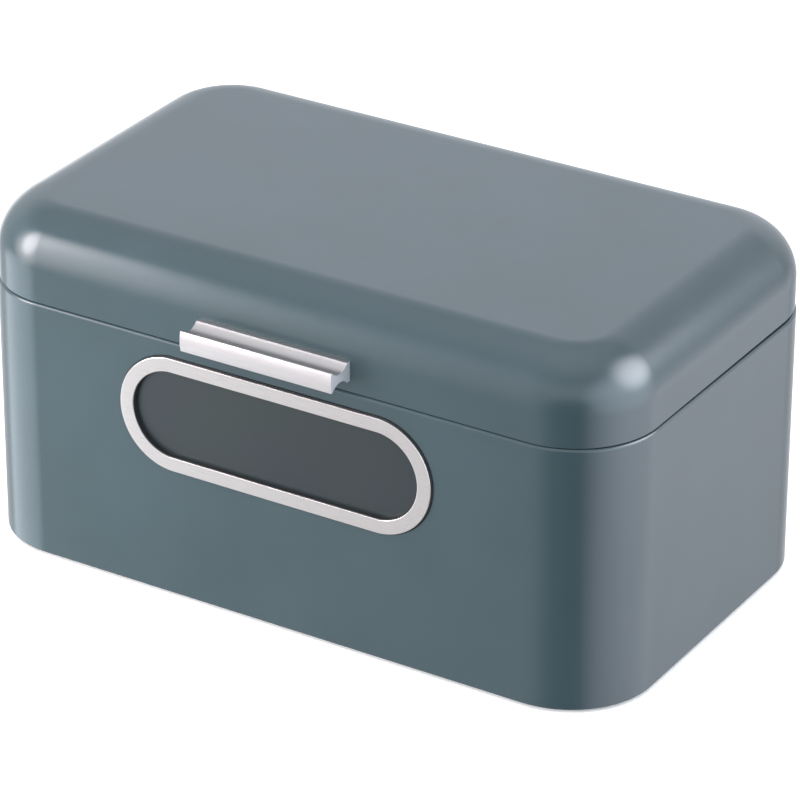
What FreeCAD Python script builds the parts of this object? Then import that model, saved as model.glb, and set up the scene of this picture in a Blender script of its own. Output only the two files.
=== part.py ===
import FreeCAD, Part

# Bread bin: a lacquered sheet-steel box with a hinged lid, a handle on the lid's front
# skirt and a long round-ended window in the front wall.
#
# Millimetres. +X is the bin's right seen from the front, +Y its back, +Z up. The origin is
# the middle of the bounding box in plan, on the surface that the feet stand on.

import math
import os

from FreeCAD import Vector

# ---------------------------------------------------------------- driving dimensions
WIDTH = 425.0  # base wall, outside
DEPTH = 253.0
HEIGHT = 213.0  # floor to the top of the lid
CORNER_R = 52.0  # vertical corners, outside of the base wall
SHEET = 0.6  # steel sheet

HEM_Z = 2.0  # underside of the base wall above the floor
HEM_LIP = 2.2  # width of the wall's in-turned lower edge
BASE_TOP_Z = 162.9  # ledge that the lid closes down to
SHOULDER_R = 1.8  # rounding of the wall into the ledge
NECK_INSET = 3.2  # upright neck inside the lid's skirt
NECK_RISE = 6.0

LID_INSET = 0.8  # lid skirt inside the line of the base wall
LID_EDGE_R = 31.0  # large rounding round the top of the lid
LID_GAP_FRONT = 0.35  # lid's lower edge above the ledge
LID_GAP_REAR = 2.0
LID_HEM_RISE = 6.0  # folded hem inside the skirt's lower edge
LID_HEM_THICKNESS = 0.7

PANEL_Z = 7.0  # underside of the bottom panel
PANEL_BEND_R = 1.2
FIELD_INSET = 62.0  # raised stiffening field of the bottom panel
FIELD_R = 20.0
FIELD_RISE = 2.0

FOOT_INSET = 40.0
FOOT_TOP_R = 9.0
FOOT_BOTTOM_R = 8.0
FOOT_ROUNDING = 0.8

WINDOW_Z = 117.9  # centre of the window
WINDOW_HALF_STRAIGHT = 66.8
FRAME_OUTER_R = 35.5
FRAME_INNER_R = 27.0
FRAME_THICKNESS = 1.2
FRAME_CHAMFER = 0.3
GASKET_MARGIN = 0.6  # gasket showing outside the frame
GASKET_FRONT = 0.8
GASKET_BACK = 1.0
WALL_OPENING_MARGIN = 1.4  # wall opening beyond the frame's inner edge
PANE_THICKNESS = 2.0
CLAMPED_BORDER = 7.0  # pane, gasket and retainer beyond the frame's inner edge
RETAINER_THICKNESS = 0.8
STUD_OFFSET = 4.6
STUD_R = 1.2
STUD_CLEARANCE = 0.05
STUD_XS = (-55.0, 0.0, 55.0)
STUD_BEYOND_NUT = 0.5
NUT_ACROSS_FLATS = 5.0
NUT_THICKNESS = 2.0

HANDLE_LENGTH = 98.4
HANDLE_HEIGHT = 12.0
HANDLE_REACH = 18.8  # front of the handle beyond the base wall
HANDLE_Z = 176.1
HANDLE_BACK_FLANGE = 3.0
HANDLE_FRONT_LIP = 1.0
HANDLE_CROWN = 0.8  # bulge of the front face
HANDLE_GROOVE = 3.3
HANDLE_EDGE_R = 0.3
HANDLE_SCREW_X = 32.0
SCREW_R = 2.0
SCREW_IN_HANDLE = 13.0
SCREW_CLEARANCE = 0.03
SCREW_HEAD_R = 4.0
SCREW_HEAD_HEIGHT = 2.6
SCREW_RECESS_LENGTH = 4.6
SCREW_RECESS_WIDTH = 0.9
SCREW_RECESS_DEPTH = 1.2
WASHER_R = 4.6
WASHER_BORE_R = 2.2
WASHER_THICKNESS = 0.8

HINGE_X = 115.0
LEAF_WIDTH = 40.0
LEAF_THICKNESS = 1.2
LEAF_CORNER_R = 3.0
BASE_LEAF_LOW_Z = 144.7
BASE_LEAF_HIGH_Z = 158.9
LID_LEAF_LOW_Z = 166.9
LID_LEAF_HIGH_Z = 178.7
HINGE_AXIS_BEHIND = 2.7  # pin axis behind the base wall
HINGE_AXIS_Z = 163.3
KNUCKLE_R = 3.0
MIDDLE_KNUCKLE = 15.4
KNUCKLE_GAP = 0.3
PIN_R = 1.5
PIN_FIXED_CLEARANCE = 0.02
PIN_RUNNING_CLEARANCE = 0.05
PIN_CHAMFER = 0.3
LUG_REACH = 5.5  # stop lug on the middle knuckle, from the pin axis
LUG_THICKNESS = 1.2
LUG_ANGLE = 2.0  # degrees above straight back, lid closed

RIVET_X = 13.0  # either side of the hinge's middle
BASE_RIVET_Z = 151.7
LID_RIVET_Z = 173.2
RIVET_R = 1.6
RIVET_CLEARANCE = 0.03
RIVET_HEAD_R = 3.0
RIVET_HEAD_HEIGHT = 1.2
RIVET_TAIL_R = 2.6
RIVET_TAIL_HEIGHT = 1.0

BUFFER_X = 120.0
BUFFER_WIDTH = 14.0
BUFFER_GAP = 0.1  # buffer above the neck, lid closed

VENT_COUNT = 7
VENT_PITCH = 18.0
VENT_R = 3.0
VENT_Z = 132.0

# ---------------------------------------------------------------- derived places
FRONT_Y = -DEPTH / 2  # outside of the base wall's front
REAR_Y = DEPTH / 2
LID_FRONT_Y = FRONT_Y + LID_INSET
LID_REAR_Y = REAR_Y - LID_INSET
LID_BOTTOM_Z = BASE_TOP_Z + LID_GAP_FRONT
NECK_TOP_Z = BASE_TOP_Z + NECK_RISE
HINGE_AXIS_Y = REAR_Y + HINGE_AXIS_BEHIND
HANDLE_FRONT_Y = FRONT_Y - HANDLE_REACH
HANDLE_DEPTH = LID_FRONT_Y - HANDLE_FRONT_Y
LID_HEM_TOP_Z = LID_BOTTOM_Z + LID_HEM_RISE

GASKET_FRONT_Y = FRONT_Y - GASKET_FRONT
GASKET_BACK_Y = FRONT_Y + SHEET + GASKET_BACK
PANE_BACK_Y = GASKET_BACK_Y + PANE_THICKNESS
RETAINER_BACK_Y = PANE_BACK_Y + RETAINER_THICKNESS

# The bin is drawn about its own middle and then moved so that the box round the handle
# and the hinges is centred on the origin.
CENTRING = Vector(0, -(HANDLE_FRONT_Y + HINGE_AXIS_Y + LUG_REACH) / 2, 0)

nodes = {}


# ---------------------------------------------------------------- shape helpers
def prism(width, depth, radius, z_low, z_high):
    """An upright prism on a rectangle with round corners, centred in plan."""
    x, y, r = width / 2, depth / 2, radius
    k = r * (1 - math.sqrt(0.5))
    edges = []
    corners = ((1, 1), (-1, 1), (-1, -1), (1, -1))
    for index, (sx, sy) in enumerate(corners):
        start = Vector(sx * x, sy * (y - r), 0)
        end = Vector(sx * (x - r), sy * y, 0)
        if sx * sy < 0:
            start, end = end, start
        middle = Vector(sx * (x - k), sy * (y - k), 0)
        edges.append(Part.Arc(start, middle, end).toShape())
        next_x, next_y = corners[(index + 1) % 4]
        if next_y == sy:
            following = Vector(next_x * (x - r), next_y * y, 0)
        else:
            following = Vector(next_x * x, next_y * (y - r), 0)
        edges.append(Part.LineSegment(end, following).toShape())
    face = Part.Face(Part.Wire(edges))
    face.translate(Vector(0, 0, z_low))
    return face.extrude(Vector(0, 0, z_high - z_low))


def inset_prism(inset, z_low, z_high):
    """The bin's plan outline, moved in by the inset and drawn up between two heights."""
    return prism(WIDTH - 2 * inset, DEPTH - 2 * inset, CORNER_R - inset, z_low, z_high)


def round_top(shape, radius):
    """Rounds every edge that lies in the shape's top plane."""
    top = shape.BoundBox.ZMax
    edges = [e for e in shape.Edges if e.BoundBox.ZMin > top - 1e-6]
    return shape.makeFillet(radius, edges)


def stadium(radius, y_front, y_back):
    """The window's long round-ended outline, drawn back between two depths."""
    a = WINDOW_HALF_STRAIGHT
    edges = []
    for side in (1, -1):
        start = Vector(side * a, 0, -side * radius)
        middle = Vector(side * (a + radius), 0, 0)
        end = Vector(side * a, 0, side * radius)
        edges.append(Part.Arc(start, middle, end).toShape())
        edges.append(Part.LineSegment(end, Vector(-side * a, 0, side * radius)).toShape())
    face = Part.Face(Part.Wire(edges))
    face.translate(Vector(0, y_front, WINDOW_Z))
    return face.extrude(Vector(0, y_back - y_front, 0))


def stadium_ring(outer_radius, inner_radius, y_front, y_back):
    hole = stadium(inner_radius, y_front - 1, y_back + 1)
    return stadium(outer_radius, y_front, y_back).cut(hole)


def rod_y(x, z, radius, y_low, y_high):
    """A cylinder along Y."""
    return Part.makeCylinder(radius, y_high - y_low, Vector(x, y_low, z), Vector(0, 1, 0))


def rod_x(x_low, x_high, y, z, radius):
    """A cylinder along X."""
    return Part.makeCylinder(radius, x_high - x_low, Vector(x_low, y, z), Vector(1, 0, 0))


def box(x_range, y_range, z_range):
    (x0, x1), (y0, y1), (z0, z1) = x_range, y_range, z_range
    return Part.makeBox(x1 - x0, y1 - y0, z1 - z0, Vector(x0, y0, z0))


def profile_x(points, x_low, x_high):
    """A polygon of (y, z) points drawn along X."""
    corners = [Vector(x_low, y, z) for y, z in points]
    face = Part.Face(Part.makePolygon(corners + corners[:1]))
    return face.extrude(Vector(x_high - x_low, 0, 0))


def fuse(first, *others):
    return first.multiFuse(list(others)).removeSplitter()


def edges_in_plane_y(shape, y):
    """The edges that lie in one plane across Y."""
    flat = [e for e in shape.Edges if e.BoundBox.YLength < 1e-5]
    return [e for e in flat if abs(e.BoundBox.YMin - y) < 1e-5]


def edges_along(shape, axis):
    """The straight edges that run along one axis."""
    found = []
    for edge in shape.Edges:
        if edge.Curve.TypeId == "Part::GeomLine" and abs(edge.Curve.Direction.dot(axis)) > 0.9999:
            found.append(edge)
    return found


# ---------------------------------------------------------------- places that repeat
def stud_places():
    """The middle line of the window frame: three above, three below, one at each end."""
    radius = FRAME_INNER_R + STUD_OFFSET
    places = [(x, WINDOW_Z + side * radius) for side in (1, -1) for x in STUD_XS]
    places += [(side * (WINDOW_HALF_STRAIGHT + radius), WINDOW_Z) for side in (1, -1)]
    return places


def rivet_xs():
    return [hinge + side * RIVET_X for hinge in (-HINGE_X, HINGE_X) for side in (-1, 1)]


def drill_y(shape, places, radius, y_low, y_high):
    """Drills a row of holes along Y."""
    return shape.cut(Part.makeCompound([rod_y(x, z, radius, y_low, y_high) for x, z in places]))


# ---------------------------------------------------------------- base
def make_base_wall():
    """One wrap of sheet: hem below, rounded shoulder, ledge and upright neck above."""
    low = HEM_Z
    outside = round_top(inset_prism(0, low, BASE_TOP_Z), SHOULDER_R)
    outside = fuse(outside, inset_prism(NECK_INSET, BASE_TOP_Z - 1, NECK_TOP_Z))
    inside = inset_prism(SHEET, low + SHEET, BASE_TOP_Z - SHEET)
    inside = round_top(inside, SHOULDER_R - SHEET)
    mouth = inset_prism(NECK_INSET + SHEET, BASE_TOP_Z - 2, NECK_TOP_Z + 1)
    floor_opening = inset_prism(SHEET + HEM_LIP, low - 1, low + 2)
    wall = outside.cut(fuse(inside, mouth, floor_opening))

    window = stadium(FRAME_INNER_R + WALL_OPENING_MARGIN, FRONT_Y - 1, FRONT_Y + 2)
    wall = wall.cut(window)
    wall = drill_y(wall, stud_places(), STUD_R + STUD_CLEARANCE, FRONT_Y - 1, FRONT_Y + 2)
    first_vent = -VENT_PITCH * (VENT_COUNT - 1) / 2
    vents = [(first_vent + i * VENT_PITCH, VENT_Z) for i in range(VENT_COUNT)]
    wall = drill_y(wall, vents, VENT_R, REAR_Y - 2, REAR_Y + 1)
    rivets = [(x, BASE_RIVET_Z) for x in rivet_xs()]
    return drill_y(wall, rivets, RIVET_R + RIVET_CLEARANCE, REAR_Y - 2, REAR_Y + 1)


def make_bottom_panel():
    """A shallow pan inside the wall, resting on its hem, with a raised middle field."""
    field_width, field_depth = WIDTH - 2 * FIELD_INSET, DEPTH - 2 * FIELD_INSET
    top = PANEL_Z + SHEET
    outside = round_top(inset_prism(SHEET, HEM_Z + SHEET, top), PANEL_BEND_R)
    field = prism(field_width, field_depth, FIELD_R, PANEL_Z, top + FIELD_RISE)
    outside = fuse(outside, field)
    inside = round_top(inset_prism(2 * SHEET, HEM_Z, PANEL_Z), PANEL_BEND_R - SHEET)
    under_width, under_depth = field_width - 2 * SHEET, field_depth - 2 * SHEET
    under = prism(under_width, under_depth, FIELD_R - SHEET, PANEL_Z - 1, PANEL_Z + FIELD_RISE)
    return outside.cut(fuse(inside, under))


def make_foot(x, y):
    """A slightly tapered rubber foot with a rounded lower edge."""
    foot = Part.makeCone(FOOT_BOTTOM_R, FOOT_TOP_R, PANEL_Z, Vector(x, y, 0))
    rim = [e for e in foot.Edges if e.BoundBox.ZMax < 1e-5]
    return foot.makeFillet(FOOT_ROUNDING, rim)


# ---------------------------------------------------------------- window
def make_window_frame():
    """The flat steel ring, its two front edges broken by a small chamfer."""
    front = GASKET_FRONT_Y - FRAME_THICKNESS
    ring = stadium_ring(FRAME_OUTER_R, FRAME_INNER_R, front, GASKET_FRONT_Y)
    return ring.makeChamfer(FRAME_CHAMFER, edges_in_plane_y(ring, front))


def make_window_gasket():
    """A rubber ring that lies on both faces of the wall and lines its opening."""
    outer = FRAME_OUTER_R + GASKET_MARGIN
    border = FRAME_INNER_R + CLAMPED_BORDER
    front = stadium_ring(outer, FRAME_INNER_R, GASKET_FRONT_Y, FRONT_Y)
    core = stadium_ring(FRAME_INNER_R + WALL_OPENING_MARGIN, FRAME_INNER_R, FRONT_Y, FRONT_Y + SHEET)
    back = stadium_ring(border, FRAME_INNER_R, FRONT_Y + SHEET, GASKET_BACK_Y)
    gasket = fuse(front, core, back)
    return drill_y(gasket, stud_places(), STUD_R + STUD_CLEARANCE, FRONT_Y - 2, FRONT_Y + 3)


def make_window_pane():
    pane = stadium(FRAME_INNER_R + CLAMPED_BORDER, GASKET_BACK_Y, PANE_BACK_Y)
    return drill_y(pane, stud_places(), STUD_R + STUD_CLEARANCE, FRONT_Y, FRONT_Y + 6)


def make_window_retainer():
    ring = stadium_ring(
        FRAME_INNER_R + CLAMPED_BORDER + SHEET, FRAME_INNER_R + SHEET, PANE_BACK_Y, RETAINER_BACK_Y
    )
    return drill_y(ring, stud_places(), STUD_R + STUD_CLEARANCE, PANE_BACK_Y - 1, FRONT_Y + 6)


def make_window_studs():
    end = RETAINER_BACK_Y + NUT_THICKNESS + STUD_BEYOND_NUT
    return [rod_y(x, z, STUD_R, GASKET_FRONT_Y, end) for x, z in stud_places()]


def make_window_nuts():
    """Plain hexagon nuts against the retainer."""
    corner_r = NUT_ACROSS_FLATS / math.sqrt(3)
    nuts = []
    for x, z in stud_places():
        turns = [math.radians(60 * i) for i in range(7)]
        corners = [
            Vector(x + corner_r * math.cos(t), RETAINER_BACK_Y, z + corner_r * math.sin(t)) for t in turns
        ]
        nut = Part.Face(Part.makePolygon(corners)).extrude(Vector(0, NUT_THICKNESS, 0))
        bore = rod_y(x, z, STUD_R + STUD_CLEARANCE, RETAINER_BACK_Y - 1, RETAINER_BACK_Y + NUT_THICKNESS + 1)
        nuts.append(nut.cut(bore))
    return nuts


# ---------------------------------------------------------------- lid
def make_lid_shell():
    """A deep-drawn cover with a folded hem; its lower edge rises a little to the rear."""
    outside = round_top(inset_prism(LID_INSET, LID_BOTTOM_Z, HEIGHT), LID_EDGE_R)
    hollow = inset_prism(LID_INSET + SHEET, LID_HEM_TOP_Z, HEIGHT - SHEET)
    hollow = round_top(hollow, LID_EDGE_R - SHEET)
    mouth = inset_prism(LID_INSET + SHEET + LID_HEM_THICKNESS, LID_BOTTOM_Z - 1, LID_HEM_TOP_Z + 1)
    shell = outside.cut(fuse(hollow, mouth))

    rise = LID_GAP_REAR - LID_GAP_FRONT
    below = [(FRONT_Y, LID_BOTTOM_Z), (REAR_Y, LID_BOTTOM_Z + rise), (REAR_Y, 0), (FRONT_Y, 0)]
    shell = shell.cut(profile_x(below, -WIDTH, WIDTH))

    screws = [(side * HANDLE_SCREW_X, HANDLE_Z) for side in (-1, 1)]
    shell = drill_y(shell, screws, WASHER_BORE_R, LID_FRONT_Y - 1, LID_FRONT_Y + 2)
    rivets = [(x, LID_RIVET_Z) for x in rivet_xs()]
    return drill_y(shell, rivets, RIVET_R + RIVET_CLEARANCE, LID_REAR_Y - 2, LID_REAR_Y + 1)


def make_handle():
    """An extrusion: flat back, crowned front, a round groove above and one below."""
    half = HANDLE_HEIGHT / 2
    back, front = LID_FRONT_Y, HANDLE_FRONT_Y
    shoulder = front + HANDLE_CROWN
    groove_back = back - HANDLE_BACK_FLANGE
    groove_front = shoulder + HANDLE_FRONT_LIP
    groove_middle = (groove_back + groove_front) / 2

    def at(y, height):
        return Vector(-HANDLE_LENGTH / 2, y, HANDLE_Z + height)

    edges = [Part.LineSegment(at(back, -half), at(back, half)).toShape()]
    for side in (1, -1):
        edge = side * half
        deepest = at(groove_middle, edge - side * HANDLE_GROOVE)
        groove = Part.Arc(at(groove_back, edge), deepest, at(groove_front, edge))
        edges.append(Part.LineSegment(at(back, edge), at(groove_back, edge)).toShape())
        edges.append(groove.toShape())
        edges.append(Part.LineSegment(at(groove_front, edge), at(shoulder, edge)).toShape())
    edges.append(Part.Arc(at(shoulder, half), at(front, 0), at(shoulder, -half)).toShape())
    outline = Part.Wire(Part.__sortEdges__(edges))
    bar = Part.Face(outline).extrude(Vector(HANDLE_LENGTH, 0, 0))
    bar = bar.makeFillet(HANDLE_EDGE_R, edges_along(bar, Vector(1, 0, 0)))
    screws = [(side * HANDLE_SCREW_X, HANDLE_Z) for side in (-1, 1)]
    end = LID_FRONT_Y - SCREW_IN_HANDLE - SCREW_CLEARANCE
    return drill_y(bar, screws, SCREW_R + SCREW_CLEARANCE, end, LID_FRONT_Y + 1)


def make_handle_screw(x):
    """A pan-head screw driven from inside the lid, with a cross recess."""
    seat = LID_FRONT_Y + SHEET + WASHER_THICKNESS
    top = seat + SCREW_HEAD_HEIGHT
    head = rod_y(x, HANDLE_Z, SCREW_HEAD_R, seat, top)
    head = head.makeFillet(SCREW_HEAD_HEIGHT / 2, edges_in_plane_y(head, top))
    shank = rod_y(x, HANDLE_Z, SCREW_R, LID_FRONT_Y - SCREW_IN_HANDLE, seat)
    long, short = SCREW_RECESS_LENGTH / 2, SCREW_RECESS_WIDTH / 2
    depth = (top - SCREW_RECESS_DEPTH, top + 1)
    level = box((x - long, x + long), depth, (HANDLE_Z - short, HANDLE_Z + short))
    upright = box((x - short, x + short), depth, (HANDLE_Z - long, HANDLE_Z + long))
    return fuse(head, shank).cut(fuse(level, upright))


def make_handle_washer(x):
    inner = LID_FRONT_Y + SHEET
    outer = rod_y(x, HANDLE_Z, WASHER_R, inner, inner + WASHER_THICKNESS)
    return outer.cut(rod_y(x, HANDLE_Z, WASHER_BORE_R, inner - 1, inner + 2))


def make_lid_buffer(x):
    """A silicone block on the front hem that lands on the neck."""
    skirt = LID_FRONT_Y + SHEET
    hem = skirt + LID_HEM_THICKNESS
    nose = FRONT_Y + NECK_INSET + SHEET + 1.0
    landing = NECK_TOP_Z + BUFFER_GAP
    top = LID_HEM_TOP_Z + 9.0
    outline = [
        (skirt, LID_HEM_TOP_Z),
        (skirt, top),
        (hem + 1.0, top),
        (nose, top - 3.0),
        (nose, landing),
        (hem, landing),
        (hem, LID_HEM_TOP_Z),
    ]
    return profile_x(outline, x - BUFFER_WIDTH / 2, x + BUFFER_WIDTH / 2)


# ---------------------------------------------------------------- hinges
def leaf_plate(middle, y_inner, z_low, z_high, far_end):
    """A hinge leaf's plate; its two corners away from the pin are rounded."""
    half = LEAF_WIDTH / 2
    plate = box((middle - half, middle + half), (y_inner, y_inner + LEAF_THICKNESS), (z_low, z_high))
    corners = [e for e in edges_along(plate, Vector(0, 1, 0)) if abs(e.BoundBox.ZMin - far_end) < 1e-5]
    return plate.makeFillet(LEAF_CORNER_R, corners)


def rivet_holes(middle, z):
    return [(middle + side * RIVET_X, z) for side in (-1, 1)]


def make_base_leaf(middle):
    """The fixed leaf, riveted to the wall, with the two outer knuckles."""
    y, z = HINGE_AXIS_Y, HINGE_AXIS_Z
    leaf = leaf_plate(middle, REAR_Y, BASE_LEAF_LOW_Z, BASE_LEAF_HIGH_Z, BASE_LEAF_LOW_Z)
    outer = REAR_Y + LEAF_THICKNESS
    curl = [
        (REAR_Y, BASE_LEAF_HIGH_Z - LEAF_THICKNESS),
        (outer, BASE_LEAF_HIGH_Z - LEAF_THICKNESS),
        (y + 0.7, z - KNUCKLE_R + 0.1),
        (y, z),
        (REAR_Y + 0.4, z - 0.6),
        (REAR_Y, z - 2.0),
    ]
    near, far = MIDDLE_KNUCKLE / 2 + KNUCKLE_GAP, LEAF_WIDTH / 2
    for low, high in ((-far, -near), (near, far)):
        leaf = fuse(
            leaf,
            profile_x(curl, middle + low, middle + high),
            rod_x(middle + low, middle + high, y, z, KNUCKLE_R),
        )
    bore = rod_x(middle - far - 1, middle + far + 1, y, z, PIN_R + PIN_FIXED_CLEARANCE)
    holes = rivet_holes(middle, BASE_RIVET_Z)
    return drill_y(leaf.cut(bore), holes, RIVET_R + RIVET_CLEARANCE, REAR_Y - 1, REAR_Y + 3)


def make_lid_leaf(middle):
    """The moving leaf, riveted to the lid, with the middle knuckle and its stop lug."""
    y, z = HINGE_AXIS_Y, HINGE_AXIS_Z
    half = MIDDLE_KNUCKLE / 2
    outer = LID_REAR_Y + LEAF_THICKNESS
    plate = leaf_plate(middle, LID_REAR_Y, LID_LEAF_LOW_Z, LID_LEAF_HIGH_Z, LID_LEAF_HIGH_Z)
    curl = [
        (LID_REAR_Y, z + 1.4),
        (LID_REAR_Y + 0.7, z + 0.3),
        (y, z),
        (y, z + KNUCKLE_R),
        (y - 1.2, z + KNUCKLE_R + 1.0),
        (outer, z + 6.4),
        (LID_REAR_Y, z + 6.4),
    ]
    curl = profile_x(curl, middle - half, middle + half)
    knuckle = rod_x(middle - half, middle + half, y, z, KNUCKLE_R)
    root, side = PIN_R + 0.5, LUG_THICKNESS / 2
    lug = [(y + root, z - side), (y + LUG_REACH, z - side), (y + LUG_REACH, z + side), (y + root, z + side)]
    lug = profile_x(lug, middle - half, middle + half)
    lug.rotate(Vector(middle, y, z), Vector(1, 0, 0), LUG_ANGLE)
    leaf = fuse(plate, curl, knuckle, lug)
    leaf = leaf.cut(rod_x(middle - half - 1, middle + half + 1, y, z, PIN_R + PIN_RUNNING_CLEARANCE))
    holes = rivet_holes(middle, LID_RIVET_Z)
    return drill_y(leaf, holes, RIVET_R + RIVET_CLEARANCE, LID_REAR_Y - 1, LID_REAR_Y + 3)


def make_hinge_pin(middle):
    half = LEAF_WIDTH / 2 + PIN_CHAMFER
    pin = rod_x(middle - half, middle + half, HINGE_AXIS_Y, HINGE_AXIS_Z, PIN_R)
    ends = [e for e in pin.Edges if e.BoundBox.XLength < 1e-5]
    return pin.makeChamfer(PIN_CHAMFER, ends)


def make_rivet(x, z, wall_inner_y, leaf_outer_y):
    """A domed head outside the leaf and a flat tail inside the sheet."""
    shank = rod_y(x, z, RIVET_R, wall_inner_y, leaf_outer_y)
    head_top = leaf_outer_y + RIVET_HEAD_HEIGHT
    head = rod_y(x, z, RIVET_HEAD_R, leaf_outer_y, head_top)
    head = head.makeFillet(RIVET_HEAD_HEIGHT * 0.8, edges_in_plane_y(head, head_top))
    tail_end = wall_inner_y - RIVET_TAIL_HEIGHT
    tail = rod_y(x, z, RIVET_TAIL_R, tail_end, wall_inner_y)
    tail = tail.makeFillet(RIVET_TAIL_HEIGHT * 0.4, edges_in_plane_y(tail, tail_end))
    return fuse(shank, head, tail)


# ---------------------------------------------------------------- assembly
nodes["base_wall"] = make_base_wall()
nodes["bottom_panel"] = make_bottom_panel()
for side_name, side in (("left", -1), ("right", 1)):
    for end_name, end in (("front", -1), ("rear", 1)):
        foot_x = side * (WIDTH / 2 - FOOT_INSET)
        foot_y = end * (DEPTH / 2 - FOOT_INSET)
        nodes[f"foot_{end_name}_{side_name}"] = make_foot(foot_x, foot_y)
    hinge = side * HINGE_X
    nodes[f"hinge_{side_name}_base_leaf"] = make_base_leaf(hinge)
    nodes[f"hinge_{side_name}_lid_leaf"] = make_lid_leaf(hinge)
    nodes[f"hinge_{side_name}_pin"] = make_hinge_pin(hinge)

nodes["window_frame"] = make_window_frame()
nodes["window_gasket"] = make_window_gasket()
nodes["window_pane"] = make_window_pane()
nodes["window_retainer"] = make_window_retainer()
nodes["window_studs"] = Part.makeCompound(make_window_studs())
nodes["window_nuts"] = Part.makeCompound(make_window_nuts())

nodes["lid_shell"] = make_lid_shell()
nodes["handle"] = make_handle()
handle_xs = (-HANDLE_SCREW_X, HANDLE_SCREW_X)
nodes["handle_screws"] = Part.makeCompound([make_handle_screw(x) for x in handle_xs])
nodes["handle_washers"] = Part.makeCompound([make_handle_washer(x) for x in handle_xs])
nodes["lid_buffers"] = Part.makeCompound([make_lid_buffer(x) for x in (-BUFFER_X, BUFFER_X)])
nodes["base_rivets"] = Part.makeCompound(
    [make_rivet(x, BASE_RIVET_Z, REAR_Y - SHEET, REAR_Y + LEAF_THICKNESS) for x in rivet_xs()]
)
nodes["lid_rivets"] = Part.makeCompound(
    [make_rivet(x, LID_RIVET_Z, LID_REAR_Y - SHEET, LID_REAR_Y + LEAF_THICKNESS) for x in rivet_xs()]
)

os.makedirs("parts", exist_ok=True)
for name, shape in nodes.items():
    shape.translate(CENTRING)
    if not shape.isValid():
        raise ValueError(f"{name} is not a valid shape")
    shape.exportStep(f"parts/{name}.step")
    print(f"{name:24s} {len(shape.Solids)} solid(s), {shape.Volume / 1000:9.3f} cm3")
print("hinge axis", [0, round(HINGE_AXIS_Y + CENTRING.y, 3), HINGE_AXIS_Z])
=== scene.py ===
import logging
import math
from collections.abc import Callable, Iterable, Iterator, Sequence
from contextlib import contextmanager
from dataclasses import dataclass, field
from enum import Enum
from functools import cache
from itertools import product
from typing import TypeVar

import bmesh
import bpy
from mathutils import Matrix, Vector


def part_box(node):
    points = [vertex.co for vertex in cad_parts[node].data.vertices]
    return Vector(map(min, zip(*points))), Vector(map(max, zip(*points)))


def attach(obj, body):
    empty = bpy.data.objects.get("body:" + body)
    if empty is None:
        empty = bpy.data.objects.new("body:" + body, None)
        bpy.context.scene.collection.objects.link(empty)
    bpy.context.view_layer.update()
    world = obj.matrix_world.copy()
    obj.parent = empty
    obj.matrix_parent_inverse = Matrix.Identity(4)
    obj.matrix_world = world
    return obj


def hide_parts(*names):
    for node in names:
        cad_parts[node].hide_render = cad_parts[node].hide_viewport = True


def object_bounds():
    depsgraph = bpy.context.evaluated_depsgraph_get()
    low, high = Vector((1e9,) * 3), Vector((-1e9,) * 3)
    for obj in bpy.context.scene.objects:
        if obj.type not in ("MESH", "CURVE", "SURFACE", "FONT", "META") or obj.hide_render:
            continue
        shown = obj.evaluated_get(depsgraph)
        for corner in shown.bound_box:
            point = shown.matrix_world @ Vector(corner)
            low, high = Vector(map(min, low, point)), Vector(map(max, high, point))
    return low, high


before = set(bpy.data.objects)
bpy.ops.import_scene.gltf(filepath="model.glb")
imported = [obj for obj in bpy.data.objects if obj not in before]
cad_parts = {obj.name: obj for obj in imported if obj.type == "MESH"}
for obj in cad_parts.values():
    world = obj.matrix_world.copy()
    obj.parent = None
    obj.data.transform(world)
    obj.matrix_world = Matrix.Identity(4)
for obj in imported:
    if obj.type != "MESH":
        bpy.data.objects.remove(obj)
CAD_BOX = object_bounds()

log = logging.getLogger("bread_bin")

MM = 0.001
TOLERANCE = 2e-5  # metres, when faces and edges are chosen by their place
LEVEL = 0.99  # how much of a face's normal lies along an axis when the face is square to it
NOISE_LOW, NOISE_HIGH = 0.25, 0.75  # the range that nearly all of a noise pattern's values are in
TONE_LOW, TONE_HIGH = 0.3, 0.7  # where a pattern's two colours stand on that range


# ------------------------------------------------------------------ shaping tools
class Keep(Enum):
    """What a cutting tool leaves of the piece it is used on."""

    OUTSIDE = "DIFFERENCE"
    INSIDE = "INTERSECT"


Element = TypeVar("Element", bmesh.types.BMFace, bmesh.types.BMEdge, bmesh.types.BMVert)


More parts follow.
